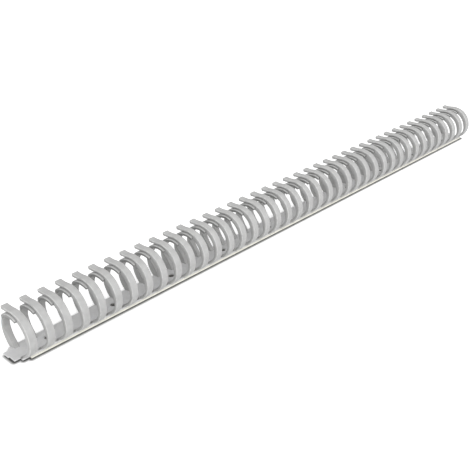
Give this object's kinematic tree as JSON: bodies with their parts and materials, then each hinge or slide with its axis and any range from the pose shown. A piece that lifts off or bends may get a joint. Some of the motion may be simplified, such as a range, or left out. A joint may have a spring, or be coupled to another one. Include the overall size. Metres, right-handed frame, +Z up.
{
  "type": "round slotted cable duct",
  "caption": "Flexible round slotted cable duct: sprung finger pairs lap over a flat self-adhesive strip with screw holes, so cables snap in from the side.",
  "frame": {"origin": "centre of the underside: mid-length, middle of the overall width, on the liner's underside", "axes": "+X along the duct, away from the tongue end; +Y to the inner-finger (back) side; +Z up from the mounting face"},
  "size_m": [0.5, 0.0316, 0.0309],
  "materials": {
    "duct_grey": "satin light grey",
    "foam_white": "matt cream foam",
    "liner_white": "smooth film"
  },
  "bodies": {
    "duct_base": {"base_strip": "duct_grey", "adhesive_tape": "foam_white", "release_liner": "liner_white", "inner_fingers_01_04": "duct_grey", "inner_fingers_05_08": "duct_grey", "inner_fingers_09_12": "duct_grey", "inner_fingers_13_16": "duct_grey", "inner_fingers_17_20": "duct_grey", "inner_fingers_21_24": "duct_grey", "inner_fingers_25_28": "duct_grey", "inner_fingers_29_32": "duct_grey", "inner_fingers_33_36": "duct_grey", "inner_fingers_37_40": "duct_grey"},
    "finger_01": {"outer_finger_01": "duct_grey"},
    "finger_02": {"outer_finger_02": "duct_grey"},
    "finger_03": {"outer_finger_03": "duct_grey"},
    "finger_04": {"outer_finger_04": "duct_grey"},
    "finger_05": {"outer_finger_05": "duct_grey"},
    "finger_06": {"outer_finger_06": "duct_grey"},
    "finger_07": {"outer_finger_07": "duct_grey"},
    "finger_08": {"outer_finger_08": "duct_grey"},
    "finger_09": {"outer_finger_09": "duct_grey"},
    "finger_10": {"outer_finger_10": "duct_grey"},
    "finger_11": {"outer_finger_11": "duct_grey"},
    "finger_12": {"outer_finger_12": "duct_grey"},
    "finger_13": {"outer_finger_13": "duct_grey"},
    "finger_14": {"outer_finger_14": "duct_grey"},
    "finger_15": {"outer_finger_15": "duct_grey"},
    "finger_16": {"outer_finger_16": "duct_grey"},
    "finger_17": {"outer_finger_17": "duct_grey"},
    "finger_18": {"outer_finger_18": "duct_grey"},
    "finger_19": {"outer_finger_19": "duct_grey"},
    "finger_20": {"outer_finger_20": "duct_grey"},
    "finger_21": {"outer_finger_21": "duct_grey"},
    "finger_22": {"outer_finger_22": "duct_grey"},
    "finger_23": {"outer_finger_23": "duct_grey"},
    "finger_24": {"outer_finger_24": "duct_grey"},
    "finger_25": {"outer_finger_25": "duct_grey"},
    "finger_26": {"outer_finger_26": "duct_grey"},
    "finger_27": {"outer_finger_27": "duct_grey"},
    "finger_28": {"outer_finger_28": "duct_grey"},
    "finger_29": {"outer_finger_29": "duct_grey"},
    "finger_30": {"outer_finger_30": "duct_grey"},
    "finger_31": {"outer_finger_31": "duct_grey"},
    "finger_32": {"outer_finger_32": "duct_grey"},
    "finger_33": {"outer_finger_33": "duct_grey"},
    "finger_34": {"outer_finger_34": "duct_grey"},
    "finger_35": {"outer_finger_35": "duct_grey"},
    "finger_36": {"outer_finger_36": "duct_grey"},
    "finger_37": {"outer_finger_37": "duct_grey"},
    "finger_38": {"outer_finger_38": "duct_grey"},
    "finger_39": {"outer_finger_39": "duct_grey"},
    "finger_40": {"outer_finger_40": "duct_grey"}
  },
  "joints": [
    {"name": "finger_01_flex", "type": "hinge", "parent": "duct_base", "child": "finger_01", "pos_m": [-0.24125, -0.00731, 0.0022], "axis": [1, 0, 0], "range_deg": [0, 30], "stiffness_Nm_per_rad": 0.05},
    {"name": "finger_02_flex", "type": "hinge", "parent": "duct_base", "child": "finger_02", "pos_m": [-0.22875, -0.00731, 0.0022], "axis": [1, 0, 0], "range_deg": [0, 30], "stiffness_Nm_per_rad": 0.05},
    {"name": "finger_03_flex", "type": "hinge", "parent": "duct_base", "child": "finger_03", "pos_m": [-0.21625, -0.00731, 0.0022], "axis": [1, 0, 0], "range_deg": [0, 30], "stiffness_Nm_per_rad": 0.05},
    {"name": "finger_04_flex", "type": "hinge", "parent": "duct_base", "child": "finger_04", "pos_m": [-0.20375, -0.00731, 0.0022], "axis": [1, 0, 0], "range_deg": [0, 30], "stiffness_Nm_per_rad": 0.05},
    {"name": "finger_05_flex", "type": "hinge", "parent": "duct_base", "child": "finger_05", "pos_m": [-0.19125, -0.00731, 0.0022], "axis": [1, 0, 0], "range_deg": [0, 30], "stiffness_Nm_per_rad": 0.05},
    {"name": "finger_06_flex", "type": "hinge", "parent": "duct_base", "child": "finger_06", "pos_m": [-0.17875, -0.00731, 0.0022], "axis": [1, 0, 0], "range_deg": [0, 30], "stiffness_Nm_per_rad": 0.05},
    {"name": "finger_07_flex", "type": "hinge", "parent": "duct_base", "child": "finger_07", "pos_m": [-0.16625, -0.00731, 0.0022], "axis": [1, 0, 0], "range_deg": [0, 30], "stiffness_Nm_per_rad": 0.05},
    {"name": "finger_08_flex", "type": "hinge", "parent": "duct_base", "child": "finger_08", "pos_m": [-0.15375, -0.00731, 0.0022], "axis": [1, 0, 0], "range_deg": [0, 30], "stiffness_Nm_per_rad": 0.05},
    {"name": "finger_09_flex", "type": "hinge", "parent": "duct_base", "child": "finger_09", "pos_m": [-0.14125, -0.00731, 0.0022], "axis": [1, 0, 0], "range_deg": [0, 30], "stiffness_Nm_per_rad": 0.05},
    {"name": "finger_10_flex", "type": "hinge", "parent": "duct_base", "child": "finger_10", "pos_m": [-0.12875, -0.00731, 0.0022], "axis": [1, 0, 0], "range_deg": [0, 30], "stiffness_Nm_per_rad": 0.05},
    {"name": "finger_11_flex", "type": "hinge", "parent": "duct_base", "child": "finger_11", "pos_m": [-0.11625, -0.00731, 0.0022], "axis": [1, 0, 0], "range_deg": [0, 30], "stiffness_Nm_per_rad": 0.05},
    {"name": "finger_12_flex", "type": "hinge", "parent": "duct_base", "child": "finger_12", "pos_m": [-0.10375, -0.00731, 0.0022], "axis": [1, 0, 0], "range_deg": [0, 30], "stiffness_Nm_per_rad": 0.05},
    {"name": "finger_13_flex", "type": "hinge", "parent": "duct_base", "child": "finger_13", "pos_m": [-0.09125, -0.00731, 0.0022], "axis": [1, 0, 0], "range_deg": [0, 30], "stiffness_Nm_per_rad": 0.05},
    {"name": "finger_14_flex", "type": "hinge", "parent": "duct_base", "child": "finger_14", "pos_m": [-0.07875, -0.00731, 0.0022], "axis": [1, 0, 0], "range_deg": [0, 30], "stiffness_Nm_per_rad": 0.05},
    {"name": "finger_15_flex", "type": "hinge", "parent": "duct_base", "child": "finger_15", "pos_m": [-0.06625, -0.00731, 0.0022], "axis": [1, 0, 0], "range_deg": [0, 30], "stiffness_Nm_per_rad": 0.05},
    {"name": "finger_16_flex", "type": "hinge", "parent": "duct_base", "child": "finger_16", "pos_m": [-0.05375, -0.00731, 0.0022], "axis": [1, 0, 0], "range_deg": [0, 30], "stiffness_Nm_per_rad": 0.05},
    {"name": "finger_17_flex", "type": "hinge", "parent": "duct_base", "child": "finger_17", "pos_m": [-0.04125, -0.00731, 0.0022], "axis": [1, 0, 0], "range_deg": [0, 30], "stiffness_Nm_per_rad": 0.05},
    {"name": "finger_18_flex", "type": "hinge", "parent": "duct_base", "child": "finger_18", "pos_m": [-0.02875, -0.00731, 0.0022], "axis": [1, 0, 0], "range_deg": [0, 30], "stiffness_Nm_per_rad": 0.05},
    {"name": "finger_19_flex", "type": "hinge", "parent": "duct_base", "child": "finger_19", "pos_m": [-0.01625, -0.00731, 0.0022], "axis": [1, 0, 0], "range_deg": [0, 30], "stiffness_Nm_per_rad": 0.05},
    {"name": "finger_20_flex", "type": "hinge", "parent": "duct_base", "child": "finger_20", "pos_m": [-0.00375, -0.00731, 0.0022], "axis": [1, 0, 0], "range_deg": [0, 30], "stiffness_Nm_per_rad": 0.05},
    {"name": "finger_21_flex", "type": "hinge", "parent": "duct_base", "child": "finger_21", "pos_m": [0.00875, -0.00731, 0.0022], "axis": [1, 0, 0], "range_deg": [0, 30], "stiffness_Nm_per_rad": 0.05},
    {"name": "finger_22_flex", "type": "hinge", "parent": "duct_base", "child": "finger_22", "pos_m": [0.02125, -0.00731, 0.0022], "axis": [1, 0, 0], "range_deg": [0, 30], "stiffness_Nm_per_rad": 0.05},
    {"name": "finger_23_flex", "type": "hinge", "parent": "duct_base", "child": "finger_23", "pos_m": [0.03375, -0.00731, 0.0022], "axis": [1, 0, 0], "range_deg": [0, 30], "stiffness_Nm_per_rad": 0.05},
    {"name": "finger_24_flex", "type": "hinge", "parent": "duct_base", "child": "finger_24", "pos_m": [0.04625, -0.00731, 0.0022], "axis": [1, 0, 0], "range_deg": [0, 30], "stiffness_Nm_per_rad": 0.05},
    {"name": "finger_25_flex", "type": "hinge", "parent": "duct_base", "child": "finger_25", "pos_m": [0.05875, -0.00731, 0.0022], "axis": [1, 0, 0], "range_deg": [0, 30], "stiffness_Nm_per_rad": 0.05},
    {"name": "finger_26_flex", "type": "hinge", "parent": "duct_base", "child": "finger_26", "pos_m": [0.07125, -0.00731, 0.0022], "axis": [1, 0, 0], "range_deg": [0, 30], "stiffness_Nm_per_rad": 0.05},
    {"name": "finger_27_flex", "type": "hinge", "parent": "duct_base", "child": "finger_27", "pos_m": [0.08375, -0.00731, 0.0022], "axis": [1, 0, 0], "range_deg": [0, 30], "stiffness_Nm_per_rad": 0.05},
    {"name": "finger_28_flex", "type": "hinge", "parent": "duct_base", "child": "finger_28", "pos_m": [0.09625, -0.00731, 0.0022], "axis": [1, 0, 0], "range_deg": [0, 30], "stiffness_Nm_per_rad": 0.05},
    {"name": "finger_29_flex", "type": "hinge", "parent": "duct_base", "child": "finger_29", "pos_m": [0.10875, -0.00731, 0.0022], "axis": [1, 0, 0], "range_deg": [0, 30], "stiffness_Nm_per_rad": 0.05},
    {"name": "finger_30_flex", "type": "hinge", "parent": "duct_base", "child": "finger_30", "pos_m": [0.12125, -0.00731, 0.0022], "axis": [1, 0, 0], "range_deg": [0, 30], "stiffness_Nm_per_rad": 0.05},
    {"name": "finger_31_flex", "type": "hinge", "parent": "duct_base", "child": "finger_31", "pos_m": [0.13375, -0.00731, 0.0022], "axis": [1, 0, 0], "range_deg": [0, 30], "stiffness_Nm_per_rad": 0.05},
    {"name": "finger_32_flex", "type": "hinge", "parent": "duct_base", "child": "finger_32", "pos_m": [0.14625, -0.00731, 0.0022], "axis": [1, 0, 0], "range_deg": [0, 30], "stiffness_Nm_per_rad": 0.05},
    {"name": "finger_33_flex", "type": "hinge", "parent": "duct_base", "child": "finger_33", "pos_m": [0.15875, -0.00731, 0.0022], "axis": [1, 0, 0], "range_deg": [0, 30], "stiffness_Nm_per_rad": 0.05},
    {"name": "finger_34_flex", "type": "hinge", "parent": "duct_base", "child": "finger_34", "pos_m": [0.17125, -0.00731, 0.0022], "axis": [1, 0, 0], "range_deg": [0, 30], "stiffness_Nm_per_rad": 0.05},
    {"name": "finger_35_flex", "type": "hinge", "parent": "duct_base", "child": "finger_35", "pos_m": [0.18375, -0.00731, 0.0022], "axis": [1, 0, 0], "range_deg": [0, 30], "stiffness_Nm_per_rad": 0.05},
    {"name": "finger_36_flex", "type": "hinge", "parent": "duct_base", "child": "finger_36", "pos_m": [0.19625, -0.00731, 0.0022], "axis": [1, 0, 0], "range_deg": [0, 30], "stiffness_Nm_per_rad": 0.05},
    {"name": "finger_37_flex", "type": "hinge", "parent": "duct_base", "child": "finger_37", "pos_m": [0.20875, -0.00731, 0.0022], "axis": [1, 0, 0], "range_deg": [0, 30], "stiffness_Nm_per_rad": 0.05},
    {"name": "finger_38_flex", "type": "hinge", "parent": "duct_base", "child": "finger_38", "pos_m": [0.22125, -0.00731, 0.0022], "axis": [1, 0, 0], "range_deg": [0, 30], "stiffness_Nm_per_rad": 0.05},
    {"name": "finger_39_flex", "type": "hinge", "parent": "duct_base", "child": "finger_39", "pos_m": [0.23375, -0.00731, 0.0022], "axis": [1, 0, 0], "range_deg": [0, 30], "stiffness_Nm_per_rad": 0.05},
    {"name": "finger_40_flex", "type": "hinge", "parent": "duct_base", "child": "finger_40", "pos_m": [0.24625, -0.00731, 0.0022], "axis": [1, 0, 0], "range_deg": [0, 30], "stiffness_Nm_per_rad": 0.05}
  ]
}
